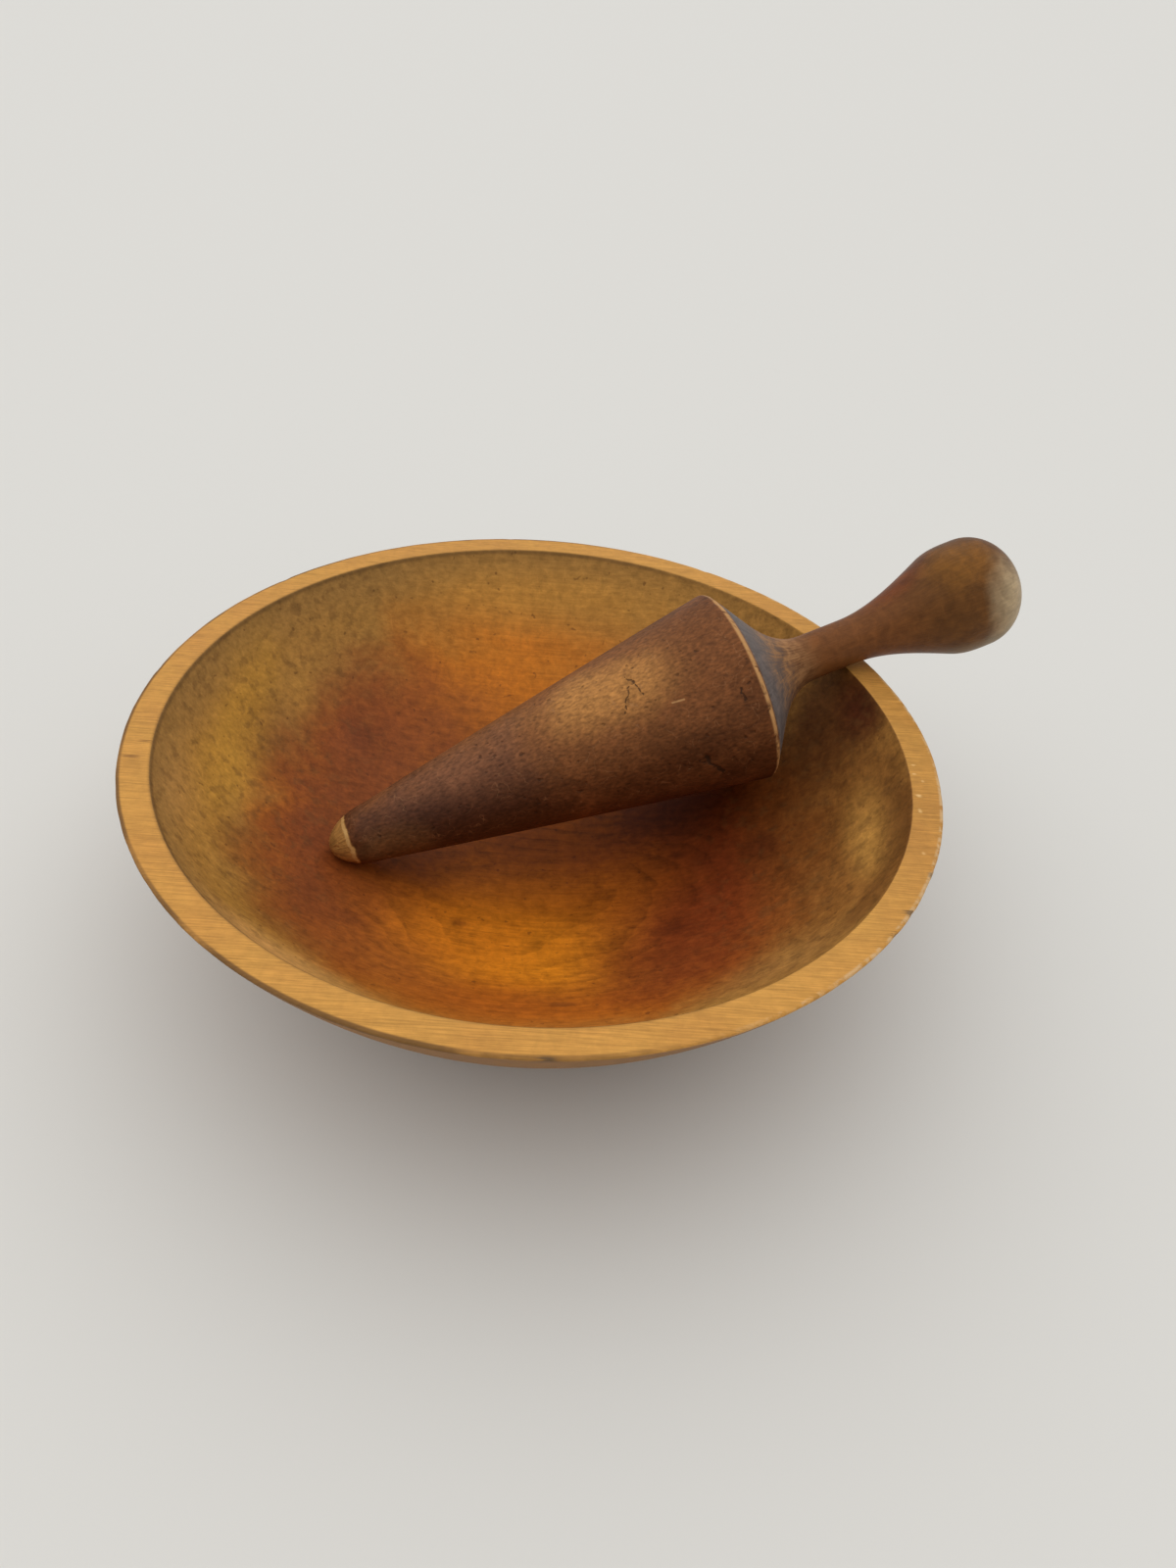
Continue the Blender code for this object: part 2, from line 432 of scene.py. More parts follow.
def srgb(red, green, blue):
    """A linear colour with alpha from the usual 0 to 255 values."""
    def linear(value):
        value /= 255
        return value / 12.92 if value <= 0.04045 else ((value + 0.055) / 1.055) ** 2.4
    return (linear(red), linear(green), linear(blue), 1.0)


def millimetres(values):
    """The same values in metres."""
    return tuple(value * MM for value in values)


class Paint:
    """Short words for building one material's node tree. Places are metres on the piece itself."""

    def __init__(self, name):
        self.material = bpy.data.materials.new(name)
        self.material.use_nodes = True
        self.tree = self.material.node_tree
        self.shader = self.tree.nodes["Principled BSDF"]
        self.position = self.node("ShaderNodeAttribute", attribute_name="place").outputs["Vector"]

    def node(self, kind, inputs=None, **settings):
        """A new node with its settings, and its inputs linked or set."""
        made = self.tree.nodes.new(kind)
        for key, value in settings.items():
            setattr(made, key, value)
        for key, value in (inputs or {}).items():
            if isinstance(value, bpy.types.NodeSocket):
                self.tree.links.new(value, made.inputs[key])
            else:
                made.inputs[key].default_value = value
        return made

    def attribute(self, name):
        return self.node("ShaderNodeAttribute", attribute_name=name).outputs["Fac"]

    def split(self, vector):
        return self.node("ShaderNodeSeparateXYZ", {"Vector": vector}).outputs

    def stretch(self, vector, scale, turn=(0.0, 0.0, 0.0)):
        inputs = {"Vector": vector, "Scale": scale, "Rotation": turn}
        return self.node("ShaderNodeMapping", inputs).outputs["Vector"]

    def noise(self, vector, scale, detail=3.0, roughness=0.5, distortion=0.0):
        inputs = {
            "Vector": vector, "Scale": scale, "Detail": detail,
            "Roughness": roughness, "Distortion": distortion,
        }
        return self.node("ShaderNodeTexNoise", inputs).outputs["Fac"]

    def maths(self, operation, first, second=0.0, clamp=False):
        inputs = {0: first, 1: second}
        return self.node("ShaderNodeMath", inputs, operation=operation, use_clamp=clamp).outputs[0]

    def times(self, first, second):
        return self.maths("MULTIPLY", first, second)

    def plus(self, first, second):
        return self.maths("ADD", first, second)

    def minus(self, first, second):
        return self.maths("SUBTRACT", first, second)

    def away_from(self, value, middle):
        """How far the value is from the middle, on either side of it."""
        return self.maths("ABSOLUTE", self.minus(value, middle))

    def vector_maths(self, operation, first, second=(0.0, 0.0, 0.0), output="Vector"):
        inputs = {0: first, 1: second}
        return self.node("ShaderNodeVectorMath", inputs, operation=operation).outputs[output]

    def remap(self, value, low, high, new_low=0.0, new_high=1.0, smooth=True):
        """new_low where the value is at low, new_high where it is at high, a fade between."""
        inputs = {0: value, 1: low, 2: high, 3: new_low, 4: new_high}
        kind = "SMOOTHSTEP" if smooth else "LINEAR"
        return self.node("ShaderNodeMapRange", inputs, interpolation_type=kind).outputs[0]

    def mix(self, share, first, second, blend="MIX"):
        made = self.node("ShaderNodeMix", data_type="RGBA", blend_type=blend)
        for index, value in ((0, share), (6, first), (7, second)):
            if isinstance(value, bpy.types.NodeSocket):
                self.tree.links.new(value, made.inputs[index])
            else:
                made.inputs[index].default_value = value
        return made.outputs[2]

    def shade(self, colour, factor):
        """The colour times a grey factor."""
        grey = self.node("ShaderNodeCombineColor", {0: factor, 1: factor, 2: factor})
        return self.mix(1.0, colour, grey.outputs[0], "MULTIPLY")

    def patch(self, centre, radii, ragged, soft):
        """1 in a soft-edged, ragged ellipsoid and 0 outside it."""
        away = self.vector_maths("SUBTRACT", self.position, millimetres(centre))
        scaled = self.vector_maths("DIVIDE", away, millimetres(radii))
        distance = self.vector_maths("LENGTH", scaled, output="Value")
        return self.remap(self.plus(distance, ragged), 1.0 + soft, 1.0 - soft)

    def line(self, vector, start, end, width):
        """1 on a thin line between two points given in millimetres and 0 away from it."""
        start, end = Vector(millimetres(start)), Vector(millimetres(end))
        along = end - start
        away = self.vector_maths("SUBTRACT", vector, tuple(start))
        per_length = tuple(along / along.length_squared)
        share = self.vector_maths("DOT_PRODUCT", away, per_length, output="Value")
        share = self.maths("ADD", share, 0.0, clamp=True)
        nearest = self.node("ShaderNodeVectorMath", {0: tuple(along), 3: share}, operation="SCALE")
        off_line = self.vector_maths("SUBTRACT", away, nearest.outputs[0])
        distance = self.vector_maths("LENGTH", off_line, output="Value")
        return self.remap(distance, width * MM, width * MM * 0.3)

    def cover(self, colour, share, tint, strength=1.0):
        """The colour with the tint over it where share is 1, as thick as strength says."""
        return self.mix(self.times(share, strength), colour, srgb(*tint))

    def cover_patches(self, colour, patches, ragged, soft):
        """The colour with each patch (centre, radii, tint, strength) over it, in turn."""
        for centre, radii, tint, strength in patches:
            colour = self.cover(colour, self.patch(centre, radii, ragged, soft), tint, strength)
        return colour

    def cover_lines(self, colour, lines, tint, strength):
        """The colour with each line (start, end, width) over it, in turn."""
        for start, end, width in lines:
            line = self.line(self.position, start, end, width)
            colour = self.cover(colour, line, tint, strength)
        return colour

    def shifted(self, vector, scale, amount):
        """The vector moved about at random by up to half the amount."""
        noise = self.node("ShaderNodeTexNoise", {"Vector": vector, "Scale": scale, "Detail": 2.0})
        away = self.vector_maths("SUBTRACT", noise.outputs["Color"], (0.5, 0.5, 0.5))
        away = self.node("ShaderNodeVectorMath", {0: away, 3: amount}, operation="SCALE")
        return self.vector_maths("ADD", vector, away.outputs[0])

    def finish(self, colour, roughness, height, depth, shine):
        """Connects the shader, with height as bump of this depth in metres."""
        links = self.tree.links
        self.shader.inputs["Specular IOR Level"].default_value = shine
        links.new(colour, self.shader.inputs["Base Color"])
        links.new(roughness, self.shader.inputs["Roughness"])
        bump = self.node("ShaderNodeBump", {"Height": height, "Distance": depth, "Strength": 1.0})
        links.new(bump.outputs[0], self.shader.inputs["Normal"])
        return self.material


# Colours of the bowl
GOLD = (186, 106, 28)
OLIVE = (174, 126, 60)
GREYED = (158, 122, 70)
MOTTLE = (104, 70, 36)
PIT = (78, 40, 20)
HOLLOW_SCRATCH = (200, 150, 86)
RIM_DEEP = (198, 136, 64)
RIM_PALE = (218, 162, 80)
OUTSIDE_DEEP = (126, 84, 44)
OUTSIDE_PALE = (168, 122, 68)
INNER_LINE = (80, 56, 34)
GRIME_AND_SHADE = (92, 64, 38)
BARE_EDGE = (214, 184, 142)
DARK_MARK = (84, 70, 56)
BROWN_MARK = (120, 80, 42)
PALE_DING = (240, 196, 130)

# Grain of the bowl: its fibres run along X, and so does the axis of its rings, the pith
PITH = (0.0, -0.030, -0.062)
RING_PITCH = 4.0 * MM
RING_WANDER = 22.0 * MM
FIBRE_STRETCH = (0.035, 1.0, 1.0)

# Fades on the bowl, from and to, in metres; a line's own fade is measured from the line.
# Along the outline, from the rim's inner edge:
GREYED_FADE = (-0.020, -0.001)
EDGE_SHADE_FADE = (-0.008, 0.0)
HOLLOW_TO_RIM = (-0.0002, 0.0002)
RIM_TO_OUTSIDE = (RIM_WIDTH - 0.0002, RIM_WIDTH + 0.0010)
INNER_LINE_AT = -0.0006
INNER_LINE_FADE = (0.0016, 0.0002)
OUTER_LINE_AT = RIM_WIDTH - 0.0004
OUTER_LINE_FADE = (0.0017, 0.0009)
# From the bowl's axis, outwards:
GOLD_TO_OLIVE = (0.098, 0.118)
# Across the bowl, along X:
LEFT_FADE = (0.095, 0.020)
SWIRL_FADE = (0.030, 0.085)
RIM_SHADE_FADE = (0.070, 0.125)
GRIME_AND_SHADE_FADE = (0.07, -0.02)
BARE_EDGE_FADE = (0.04, 0.09)
END_GRAIN_FADE = (0.045, 0.085)
# Down the hollow:
LOW_DOWN_FADE = (0.044, 0.014)

BOWL_RELIEF = 0.10 * MM
BOWL_SHINE = 0.14

# Patches in the hollow, stains and some painted shadow: centre and radii in millimetres, colour,
# strength
HOLLOW_STAINS_AND_SHADE = (
    ((-103, 12, 56), (8, 46, 24), (198, 144, 54), 0.8),
    ((-90, 26, 46), (11, 16, 20), (112, 64, 34), 0.4),
    ((-90, -26, 46), (11, 14, 20), (112, 62, 28), 0.45),
    ((-80, -62, 50), (16, 22, 20), (172, 124, 50), 0.7),
    ((-10, 90, 42), (44, 24, 26), (208, 122, 30), 0.85),
    ((72, -18, 30), (34, 56, 30), (130, 74, 28), 0.8),
    ((-36, -74, 36), (30, 18, 20), (156, 96, 34), 0.6),
    ((-68, -88, 62), (26, 15, 16), (220, 164, 94), 0.75),
    ((-114, -34, 64), (10, 20, 14), (196, 144, 78), 0.6),
    ((-68, -54, 38), (20, 18, 16), (122, 60, 22), 0.65),
    ((-72, -10, 34), (12, 18, 14), (98, 44, 18), 0.8),
    ((0, -44, 14), (28, 36, 18), (218, 132, 26), 0.94),
    ((-4, -72, 28), (38, 15, 14), (166, 84, 20), 0.8),
    ((14, -92, 44), (30, 9, 12), (172, 102, 36), 0.6),
    ((-26, -36, 14), (34, 16, 16), (212, 122, 28), 0.75),
    ((-66, 30, 30), (24, 46, 30), (130, 66, 32), 0.85),
    ((-64, -24, 28), (26, 38, 24), (134, 68, 30), 0.75),
    ((-46, 60, 34), (32, 20, 24), (142, 74, 34), 0.65),
    ((-48, -54, 32), (26, 16, 18), (150, 80, 28), 0.55),
    ((58, -8, 26), (35, 62, 30), (130, 54, 22), 0.85),
    ((46, -50, 28), (22, 22, 20), (120, 54, 22), 0.6),
    ((58, 14, 22), (26, 28, 22), (100, 42, 18), 0.6),
    # Painted contact shadow of the pestle on the hollow's floor, over its brown stain: the next three
    # patches
    ((10, -2, 8), (46, 20, 14), (176, 94, 22), 0.65),
    ((4, 22, 10), (50, 17, 12), (120, 54, 14), 0.65),
    ((-40, 4, 16), (16, 16, 12), (104, 44, 14), 0.55),
    ((-70, -36, 32), (9, 12, 12), (108, 54, 26), 0.45),
    ((100, -24, 54), (22, 60, 34), (136, 84, 36), 0.7),
    ((112, 2, 66), (12, 44, 24), (132, 86, 38), 0.65),
    ((109, -26, 60), (7, 24, 11), (206, 152, 74), 0.75),
    ((78, -76, 54), (20, 16, 18), (166, 118, 62), 0.65),
    # Dark stain under the pestle's big end, darkened further as painted shadow
    ((60, 30, 24), (40, 12, 16), (62, 24, 8), 0.6),
    ((-88, 44, 54), (5, 12, 9), (196, 142, 62), 0.6),
    # Painted shade on the right side of the hollow, over its stain
    ((90, 16, 42), (14, 34, 24), (100, 52, 18), 0.7),
    ((4, 113, 66), (66, 14, 16), (208, 148, 64), 0.8),
    # Dark stain on the right wall under the neck, with the neck's painted shadow: the next two patches
    ((106, 40, 62), (18, 26, 20), (96, 54, 24), 0.85),
    ((113, 34, 70), (8, 12, 8), (74, 30, 16), 0.8),
    ((115, -34, 70), (9, 34, 9), (106, 66, 30), 0.7),
    ((100, -66, 68), (14, 20, 8), (112, 72, 34), 0.6),
    ((52, 8, 19), (3, 2, 3), (60, 24, 12), 0.7),
    ((-23, -27, 12), (3, 2, 3), (120, 62, 20), 0.6),
    ((12, -72, 27), (4, 2, 3), (110, 58, 22), 0.6),
    ((48, -30, 21), (6, 4, 5), (84, 34, 16), 0.45),
    ((80, 1, 33), (6, 5, 5), (92, 42, 20), 0.5),
    ((-66, 47, 33), (6, 5, 6), (104, 52, 26), 0.5),
    ((-34, 52, 22), (5, 9, 6), (112, 50, 28), 0.35),
    ((-56, -40, 27), (7, 4, 5), (110, 54, 26), 0.4),
)

# Marks on the rim: centre and radii in millimetres, colour, strength
RIM_MARKS = (
    ((107.5, -72, 75.5), (2.2, 1.6, 2.0), DARK_MARK, 0.7),
    ((102, -81, 75.5), (2.2, 1.2, 2.0), DARK_MARK, 0.6),
    ((7, -129.5, 75.0), (3.0, 1.0, 1.6), DARK_MARK, 0.7),
    ((117, -56, 75.5), (1.4, 2.2, 1.6), DARK_MARK, 0.6),
    ((-121, -19, 76), (4.0, 0.8, 1.0), BROWN_MARK, 0.7),
    ((-123, -27, 76), (4.0, 0.7, 1.0), BROWN_MARK, 0.7),
    ((122.2, -4.0, 76), (0.7, 0.5, 1.0), PALE_DING, 0.6),
    ((121.5, -8.6, 76), (0.9, 0.7, 1.0), PALE_DING, 0.7),
    ((123.6, -12.0, 76), (0.6, 0.6, 1.0), PALE_DING, 0.5),
    ((120.8, -19.5, 76), (1.0, 0.8, 1.0), PALE_DING, 0.8),
    ((119.6, -27, 76), (0.7, 0.9, 1.0), PALE_DING, 0.6),
    ((116.5, -46.6, 76), (0.7, 0.7, 1.0), PALE_DING, 0.5),
)

# Scratches in the hollow: start, end and width in millimetres
HOLLOW_SCRATCHES = (((58, -66, 33), (63, -56, 32), 0.35), ((34, -72, 30), (39, -69, 30), 0.3))


class BowlPaint(Paint):
    """Old oiled wood: a stained hollow, a paler rim and a darker outside."""

    def __init__(self):
        super().__init__("bowl_wood")
        self.outline = self.attribute("outline")
        self.x, self.y, self.height = self.split(self.position)
        along_fibres = self.stretch(self.position, FIBRE_STRETCH)
        self.fibre = self.noise(along_fibres, 760.0, 4.0, 0.6)
        self.fine_fibre = self.noise(along_fibres, 2000.0, 3.0, 0.6)
        self.dashes = self.remap(self.noise(along_fibres, 1300.0, 2.0, 0.5), 0.60, 0.72)
        self.clouds = self.noise(self.position, 38.0, 5.0, 0.6, 0.5)
        self.specks = self.noise(self.position, 300.0, 5.0, 0.65, 0.4)
        self.rings = self.growth_rings()
        self.left = self.remap(self.x, *LEFT_FADE)

    def growth_rings(self):
        """Dark latewood lines of rings about the pith."""
        wander = self.noise(self.stretch(self.position, (0.5, 1.0, 1.0)), 20.0, 3.0, 0.55)
        away = self.vector_maths("SUBTRACT", self.position, PITH)
        away = self.stretch(away, (0.10, 1.0, 1.0))
        radius = self.vector_maths("LENGTH", away, output="Value")
        radius = self.plus(radius, self.times(wander, RING_WANDER))
        turns = self.maths("FRACT", self.maths("DIVIDE", radius, RING_PITCH))
        return self.times(self.remap(turns, 0.35, 0.93), self.remap(turns, 1.0, 0.94))

    def hollow_stains_and_shade(self):
        """Gold wood in the middle, olive towards the rim, and the patches over both: stains, and
        painted shadow where the pestle lies over the hollow.
        """
        flat = self.node("ShaderNodeCombineXYZ", {0: self.x, 1: self.y}).outputs[0]
        radius = self.vector_maths("LENGTH", flat, output="Value")
        radius = self.plus(radius, self.times(self.clouds, 0.030))
        colour = self.mix(self.remap(radius, *GOLD_TO_OLIVE), srgb(*GOLD), srgb(*OLIVE))
        ragged = self.times(self.minus(self.clouds, 0.5), 1.1)
        ragged = self.plus(ragged, self.times(self.minus(self.specks, 0.5), 0.4))
        return self.cover_patches(colour, HOLLOW_STAINS_AND_SHADE, ragged, 0.75)

    def hollow_marks(self, colour):
        """Greyed wood under the rim on the left, mottled end grain, pits and scratches."""
        greyed = self.times(self.remap(self.outline, *GREYED_FADE), self.left)
        colour = self.cover(colour, greyed, GREYED, 0.5)
        end_grain = self.remap(self.maths("ABSOLUTE", self.x), *END_GRAIN_FADE)
        mottles = self.remap(self.noise(self.position, 190.0, 3.0, 0.55), 0.53, 0.64)
        colour = self.cover(colour, self.times(mottles, end_grain), MOTTLE, 0.34)
        pits = self.remap(self.noise(self.position, 420.0, 1.0, 0.4), 0.70, 0.80)
        colour = self.cover(colour, pits, PIT, 0.5)
        return self.cover_lines(colour, HOLLOW_SCRATCHES, HOLLOW_SCRATCH, 0.7)

    def hollow_tone(self):
        """Light and dark in the hollow: specks, fibres, swirls, and rings and dashes low down."""
        swirling = self.stretch(self.position, (1.0, 0.4, 0.7), turn=(0.0, 0.0, 0.5))
        swirls = self.remap(self.noise(swirling, 85.0, 5.0, 0.6, 1.6), 0.32, 0.68, -0.13, 0.13)
        swirls = self.times(swirls, self.remap(self.x, *SWIRL_FADE, 0.35, 1.0))
        low_down = self.remap(self.height, *LOW_DOWN_FADE)
        rings = self.times(self.rings, low_down)
        rings = self.times(rings, self.remap(self.clouds, 0.40, 0.60, 0.05, 0.24))
        dashes = self.times(self.dashes, low_down)

        tone = self.remap(self.specks, 0.3, 0.7, 0.78, 1.19, smooth=False)
        tone = self.times(tone, self.remap(self.fibre, 0.3, 0.7, 0.86, 1.14, smooth=False))
        tone = self.plus(tone, swirls)
        tone = self.minus(tone, rings)
        tone = self.minus(tone, self.times(dashes, 0.14))
        return self.times(tone, self.remap(self.outline, *EDGE_SHADE_FADE, 1.0, 0.90))

    def rim_tone(self):
        """Light and dark on the rim and the outside: fibres, faint rings, dashes and specks."""
        tone = self.remap(self.fine_fibre, 0.36, 0.64, 0.83, 1.11, smooth=False)
        tone = self.times(tone, self.remap(self.fibre, 0.32, 0.68, 0.95, 1.04, smooth=False))
        tone = self.minus(tone, self.times(self.rings, 0.05))
        tone = self.minus(tone, self.times(self.dashes, 0.06))
        return self.times(tone, self.remap(self.specks, 0.3, 0.7, 0.92, 1.06))

    def wood(self):
        """The hollow, the rim and the outside, each where it belongs on the outline."""
        hollow = self.hollow_marks(self.hollow_stains_and_shade())
        hollow = self.shade(hollow, self.hollow_tone())
        tone = self.rim_tone()
        rim = self.mix(self.clouds, srgb(*RIM_DEEP), srgb(*RIM_PALE))
        rim = self.shade(rim, self.remap(self.x, *RIM_SHADE_FADE, 1.0, 0.90))
        rim = self.shade(rim, tone)
        outside = self.mix(self.clouds, srgb(*OUTSIDE_DEEP), srgb(*OUTSIDE_PALE))
        outside = self.shade(outside, tone)
        colour = self.mix(self.remap(self.outline, *HOLLOW_TO_RIM), hollow, rim)
        return self.mix(self.remap(self.outline, *RIM_TO_OUTSIDE), colour, outside)

    def rim_lines(self, colour):
        """Dark lines on both edges of the rim, which fade out to the right, where the outer edge is
        bare wood. The outer line on the left is grime with painted shadow."""
        inner = self.remap(self.away_from(self.outline, INNER_LINE_AT), *INNER_LINE_FADE)
        colour = self.cover(colour, self.times(inner, self.left), INNER_LINE, 0.45)
        # Grime with painted shadow along the rim's outer edge, on the left
        outer = self.remap(self.away_from(self.outline, OUTER_LINE_AT), *OUTER_LINE_FADE)
        grime_and_shade = self.times(
            self.remap(self.clouds, 0.36, 0.56, 0.5, 1.0), self.remap(self.x, *GRIME_AND_SHADE_FADE)
        )
        colour = self.cover(colour, self.times(outer, grime_and_shade), GRIME_AND_SHADE, 0.8)
        bare = self.times(
            self.remap(self.specks, 0.4, 0.6), self.remap(self.x, *BARE_EDGE_FADE)
        )
        return self.cover(colour, self.times(outer, bare), BARE_EDGE, 0.6)

    def painted(self):
        """The finished material."""
        colour = self.rim_lines(self.wood())
        crumbly = self.times(self.minus(self.fine_fibre, 0.4), 3.0)
        colour = self.cover_patches(colour, RIM_MARKS, crumbly, 0.5)
        roughness = self.remap(self.clouds, 0.3, 0.7, 0.46, 0.60, smooth=False)
        relief = self.plus(self.fibre, self.times(self.specks, 0.5))
        return self.finish(colour, roughness, relief, BOWL_RELIEF, BOWL_SHINE)


# Colours of the pestle
CONE_DEEP = (82, 46, 24)
CONE_PALE = (124, 76, 42)
HANDLE = (116, 70, 34)
KNOB = (102, 64, 28)
SHOULDER_GREY = (106, 96, 92)
NECK_TAN = (152, 110, 70)
PALE_HAIR = (180, 132, 92)
CRACK = (40, 26, 18)
CONE_SCRATCH = (196, 148, 96)
EDGE_WOOD = (194, 144, 90)
NOSE_WOOD = (170, 124, 66)
NOSE_RIDGE = (196, 154, 94)

# Fades along the pestle, from and to, in metres from the tip of its nose; a line's or a ridge's
# own fade is measured from it
NOSE_TO_CONE = (0.0122, 0.0114)
NOSE_RIDGE_AT = 0.0110
NOSE_RIDGE_FADE = (0.0008, 0.0003)
PALE_HAIR_FADE = (0.156, 0.150)
PIT_FADE = (0.156, 0.152)
EDGE_LINE_AT = 0.1521
EDGE_LINE_FADE = (0.0013, 0.0004)
CONE_TO_SHOULDER = (0.1528, 0.1540)
SHOULDER_TO_NECK = (0.178, 0.164)
CONE_TO_HANDLE_TONE = (0.1528, 0.1560)
NECK_TAN_START = (0.159, 0.170)
NECK_TAN_END = (0.188, 0.176)
CONE_TO_HANDLE = (0.174, 0.186)
HANDLE_TO_KNOB = (0.206, 0.236)
MATT_TO_SMOOTH = (0.160, 0.200)

PESTLE_RELIEF = 0.25 * MM
PESTLE_SHINE = 0.12

# Patches on the pestle, stains and some painted light and shade: centre and radii in millimetres,
# colour, strength; its -X side lies upwards
PESTLE_STAINS_AND_PAINTED_LIGHT = (
    # Lighter bronze on the top of the cone: bronze stain with painted highlight, the next two patches
    ((-22, -4, 92), (18, 24, 54), (136, 86, 46), 0.75),
    ((-28, -8, 102), (10, 14, 24), (184, 128, 68), 0.8),
    ((-14, -8, 46), (12, 14, 30), (116, 76, 56), 0.6),
    # Dark stain on the cone's lower side, darkened further as painted shade: the next two patches
    ((4, -16, 48), (18, 14, 40), (58, 32, 22), 0.8),
    ((10, -26, 110), (16, 14, 50), (80, 44, 22), 0.6),
    ((-30, -14, 140), (14, 22, 14), (120, 72, 38), 0.6),
    ((2, -12, 20), (8, 8, 12), (124, 88, 52), 0.5),
    ((-13, 8, 211), (5, 8, 24), (108, 50, 14), 0.7),
    ((-20, -4, 240), (8, 10, 12), (128, 82, 26), 0.7),
    # Pale grey at the knob's end and lower side: pale wear with painted reflection, the next two
    # patches
    ((0, -17, 256), (18, 15, 11), (186, 162, 126), 0.85),
    ((14, -12, 246), (8, 12, 18), (124, 104, 72), 0.6),
)

# Cracks and pale scratches on the cone: start, end and width in millimetres
CONE_CRACKS = (
    ((-27.9, -1.9, 113.2), (-27.2, -6.1, 112.3), 0.4),
    ((-27.2, -6.1, 112.3), (-26.8, -8.9, 114.3), 0.7),
    ((-26.8, -8.9, 114.3), (-24.7, -13.9, 115.1), 0.5),
    ((-26.4, -8.9, 112.3), (-24.2, -13.0, 109.6), 0.4),
    ((-24.2, -13.0, 109.6), (-21.7, -15.8, 106.9), 0.4),
    ((-3.6, -30.4, 127.9), (0.1, -30.9, 129.2), 1.3),
    ((0.1, -30.9, 129.2), (5.5, -31.0, 132.6), 1.2),
    ((-2.3, -30.4, 125.1), (0.1, -30.9, 129.2), 0.6),
    ((-22.4, -25.0, 145.3), (-18.5, -27.8, 144.6), 0.5),
)
CONE_SCRATCHES = (
    ((-22.1, -19.9, 122.8), (-22.2, -20.6, 126.7), 0.5),
    ((-14.6, -6.0, 41.0), (-14.6, -6.6, 44.0), 0.4),
)


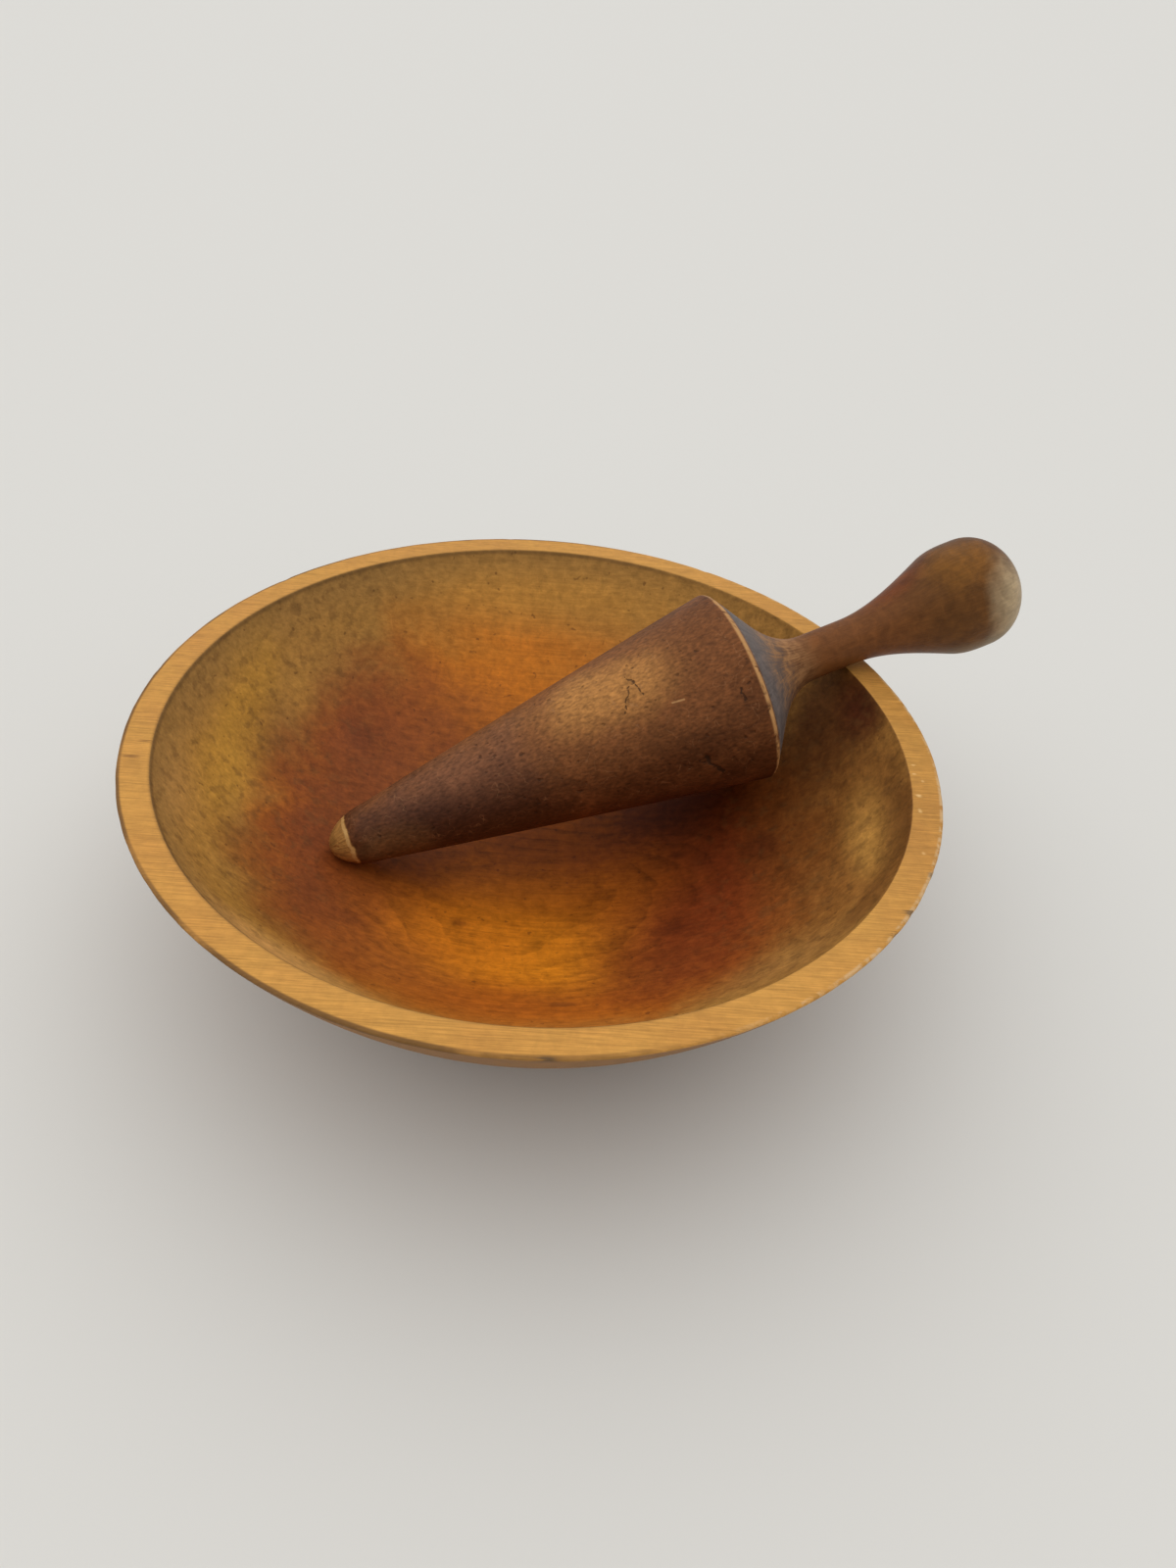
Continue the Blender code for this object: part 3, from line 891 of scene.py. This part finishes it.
class PestlePaint(Paint):
    """Dark stained hardwood, worn pale at the nose, the big end's edge and the neck."""

    def __init__(self):
        super().__init__("pestle_wood")
        x, y, self.z = self.split(self.position)
        outwards = self.node("ShaderNodeCombineXYZ", {0: x, 1: y}).outputs[0]
        outwards = self.vector_maths("NORMALIZE", outwards)
        lengthwise = self.node("ShaderNodeCombineXYZ", {2: self.times(self.z, 4.0)}).outputs[0]
        streaks = self.noise(self.vector_maths("ADD", outwards, lengthwise), 34.0, 4.0, 0.65)
        self.clouds = self.noise(self.position, 40.0, 4.0, 0.6, 0.4)
        self.specks = self.noise(self.position, 240.0, 4.0, 0.6, 0.5)
        self.mottled = self.plus(streaks, self.times(self.specks, 0.8))
        self.fuzz = self.times(
            self.plus(self.hairs((1.0, 0.4, 0.0), 1150.0), self.hairs((-1.1, -0.6, 0.0), 1000.0)), 0.5
        )
        self.uneven_z = self.plus(self.z, self.times(self.specks, 0.006))
        self.pits = self.times(
            self.remap(self.noise(self.position, 420.0, 1.0, 0.4), 0.68, 0.78),
            self.remap(self.z, *PIT_FADE),
        )

    def hairs(self, turn, scale):
        """Fine short hairs, all lying one way."""
        return self.noise(self.stretch(self.position, (1.0, 1.0, 0.5), turn=turn), scale, 4.0)

    def stains_and_painted_light(self):
        """The cone, the handle and the knob, and the patches over them: stains, with painted highlight
        on the cone's top, painted shade on its lower side and a painted reflection on the knob.
        """
        colour = self.mix(self.remap(self.clouds, 0.35, 0.65), srgb(*CONE_DEEP), srgb(*CONE_PALE))
        colour = self.cover(colour, self.remap(self.uneven_z, *CONE_TO_HANDLE), HANDLE)
        colour = self.cover(colour, self.remap(self.uneven_z, *HANDLE_TO_KNOB), KNOB)
        ragged = self.times(self.minus(self.clouds, 0.5), 1.6)
        return self.cover_patches(colour, PESTLE_STAINS_AND_PAINTED_LIGHT, ragged, 0.6)

    def shoulder(self, colour):
        """A grey shoulder behind the big end's edge, and a tan patch where the neck starts."""
        grey = self.times(
            self.remap(self.z, *CONE_TO_SHOULDER), self.remap(self.uneven_z, *SHOULDER_TO_NECK)
        )
        colour = self.cover(colour, grey, SHOULDER_GREY)
        tan = self.times(
            self.remap(self.uneven_z, *NECK_TAN_START), self.remap(self.uneven_z, *NECK_TAN_END)
        )
        tan = self.times(tan, self.remap(self.mottled, 0.72, 1.06, 0.15, 0.9))
        return self.cover(colour, tan, NECK_TAN)

    def tone(self):
        """Light and dark: fuzzy with pits on the cone, smoother from the shoulder on."""
        cone = self.remap(self.fuzz, 0.36, 0.64, 0.66, 1.32, smooth=False)
        handle = self.remap(self.mottled, 0.64, 1.16, 0.82, 1.16, smooth=False)
        on_handle = self.remap(self.z, *CONE_TO_HANDLE_TONE)
        tone = self.node("ShaderNodeMix", {0: on_handle, 2: cone, 3: handle}).outputs[0]
        tone = self.times(tone, self.remap(self.specks, 0.3, 0.7, 0.84, 1.14, smooth=False))
        return self.minus(tone, self.times(self.pits, 0.35))

    def pale_hairs(self, colour):
        """Long faint hairs here and there on the cone."""
        wandering = self.noise(self.position, 150.0, 2.0, 0.5, 0.3)
        hairs = self.remap(self.away_from(wandering, 0.5), 0.009, 0.002)
        places = self.remap(self.noise(self.position, 120.0, 3.0), 0.46, 0.58, 0.0, 0.22)
        places = self.times(places, self.remap(self.z, *PALE_HAIR_FADE))
        return self.cover(colour, self.times(hairs, places), PALE_HAIR)

    def cracks(self):
        """1 in the crooked cracks of the cone and 0 elsewhere."""
        crooked = self.shifted(self.position, 420.0, 0.0030)
        cracks = 0.0
        for start, end, width in CONE_CRACKS:
            cracks = self.maths("MAXIMUM", cracks, self.line(crooked, start, end, width))
        return cracks

    def worn_ends(self, colour):
        """Bare wood on the big end's edge and on the nose, with a pale ridge behind the nose."""
        edge = self.times(
            self.remap(self.away_from(self.z, EDGE_LINE_AT), *EDGE_LINE_FADE),
            self.remap(self.specks, 0.3, 0.5),
        )
        colour = self.cover(colour, edge, EDGE_WOOD)
        from_tip = self.plus(self.z, self.times(self.clouds, 0.006))
        from_tip = self.plus(from_tip, self.times(self.specks, 0.002))
        nose = self.shade(srgb(*NOSE_WOOD), self.remap(self.mottled, 0.76, 1.06, 0.62, 1.2))
        colour = self.mix(self.remap(from_tip, *NOSE_TO_CONE), colour, nose)
        ridge = self.remap(self.away_from(from_tip, NOSE_RIDGE_AT), *NOSE_RIDGE_FADE)
        return self.cover(colour, ridge, NOSE_RIDGE)

    def painted(self):
        """The finished material."""
        cracks = self.cracks()
        colour = self.shoulder(self.stains_and_painted_light())
        colour = self.pale_hairs(self.shade(colour, self.tone()))
        colour = self.cover(colour, cracks, CRACK, 0.75)
        colour = self.cover_lines(colour, CONE_SCRATCHES, CONE_SCRATCH, 0.7)
        colour = self.worn_ends(colour)
        roughness = self.remap(self.z, *MATT_TO_SMOOTH, 0.52, 0.36)
        roughness = self.plus(roughness, self.times(self.specks, 0.10))
        relief = self.minus(self.fuzz, self.times(self.plus(self.pits, cracks), 0.8))
        return self.finish(colour, roughness, relief, PESTLE_RELIEF, PESTLE_SHINE)


# ---------------------------------------------------------------- the two pieces

def make_bowl():
    rim_inner = (RIM_INNER_RADIUS, BOWL_HEIGHT)
    piece = turned("old_bowl", bowl_outline(), BOWL_SEGMENTS, rim_inner, bowl_wear)
    piece.data.materials.append(BowlPaint().painted())
    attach(piece, "bowl")
    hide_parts("bowl")


def make_pestle():
    piece = turned("old_pestle", pestle_outline(), PESTLE_SEGMENTS, (0.0, 0.0), pestle_wear)
    piece.data.materials.append(PestlePaint().painted())
    leaning = Euler((0.0, pi / 2 - PESTLE_RISE, PESTLE_TURN)).to_matrix().to_4x4()
    piece.data.transform(Matrix.Translation(PESTLE_NOSE) @ leaning)
    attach(piece, "pestle")
    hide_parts("pestle")


# ---------------------------------------------------------------- the stage

def make_floor():
    mesh = bpy.data.meshes.new("floor")
    half = FLOOR_HALF_WIDTH
    corners = [(-half, -half, 0.0), (half, -half, 0.0), (half, half, 0.0), (-half, half, 0.0)]
    mesh.from_pydata(corners, [], [(0, 1, 2, 3)])
    floor = bpy.data.objects.new("floor", mesh)
    floor.location.z = -FLOOR_DROP
    bpy.context.collection.objects.link(floor)
    material = bpy.data.materials.new("floor")
    material.use_nodes = True
    shader = material.node_tree.nodes["Principled BSDF"]
    shader.inputs["Base Color"].default_value = srgb(*FLOOR_COLOUR)
    shader.inputs["Roughness"].default_value = FLOOR_ROUGHNESS
    mesh.materials.append(material)


def make_light():
    """A bright overcast room: light from all round, and a very broad soft light from above that
    leans a little from behind and from the left."""
    world = bpy.data.worlds.new("soft_room")
    world.use_nodes = True
    background = world.node_tree.nodes["Background"]
    background.inputs["Color"].default_value = ROOM_COLOUR
    background.inputs["Strength"].default_value = ROOM_STRENGTH
    bpy.context.scene.world = world
    sky = bpy.data.lights.new("sky", "SUN")
    sky.energy = SKY_STRENGTH
    sky.angle = SKY_SPREAD
    sky.color = SKY_COLOUR
    lamp = bpy.data.objects.new("sky", sky)
    lamp.rotation_euler = SKY_DIRECTION.to_track_quat("-Z", "Y").to_euler()
    bpy.context.collection.objects.link(lamp)


def make_camera():
    data = bpy.data.cameras.new("camera")
    data.lens = CAMERA_LENS
    data.sensor_width = CAMERA_SENSOR
    data.clip_start = CAMERA_CLIP_START
    camera = bpy.data.objects.new("camera", data)
    facing = (CAMERA_AIM - CAMERA_AT).to_track_quat("-Z", "Y").to_matrix().to_4x4()
    camera.matrix_world = Matrix.Translation(CAMERA_AT) @ facing @ Matrix.Rotation(CAMERA_ROLL, 4, "Z")
    bpy.context.collection.objects.link(camera)
    bpy.context.scene.camera = camera


make_camera()
make_bowl()
make_pestle()
make_floor()
make_light()
bpy.context.scene.view_settings.view_transform = "Standard"
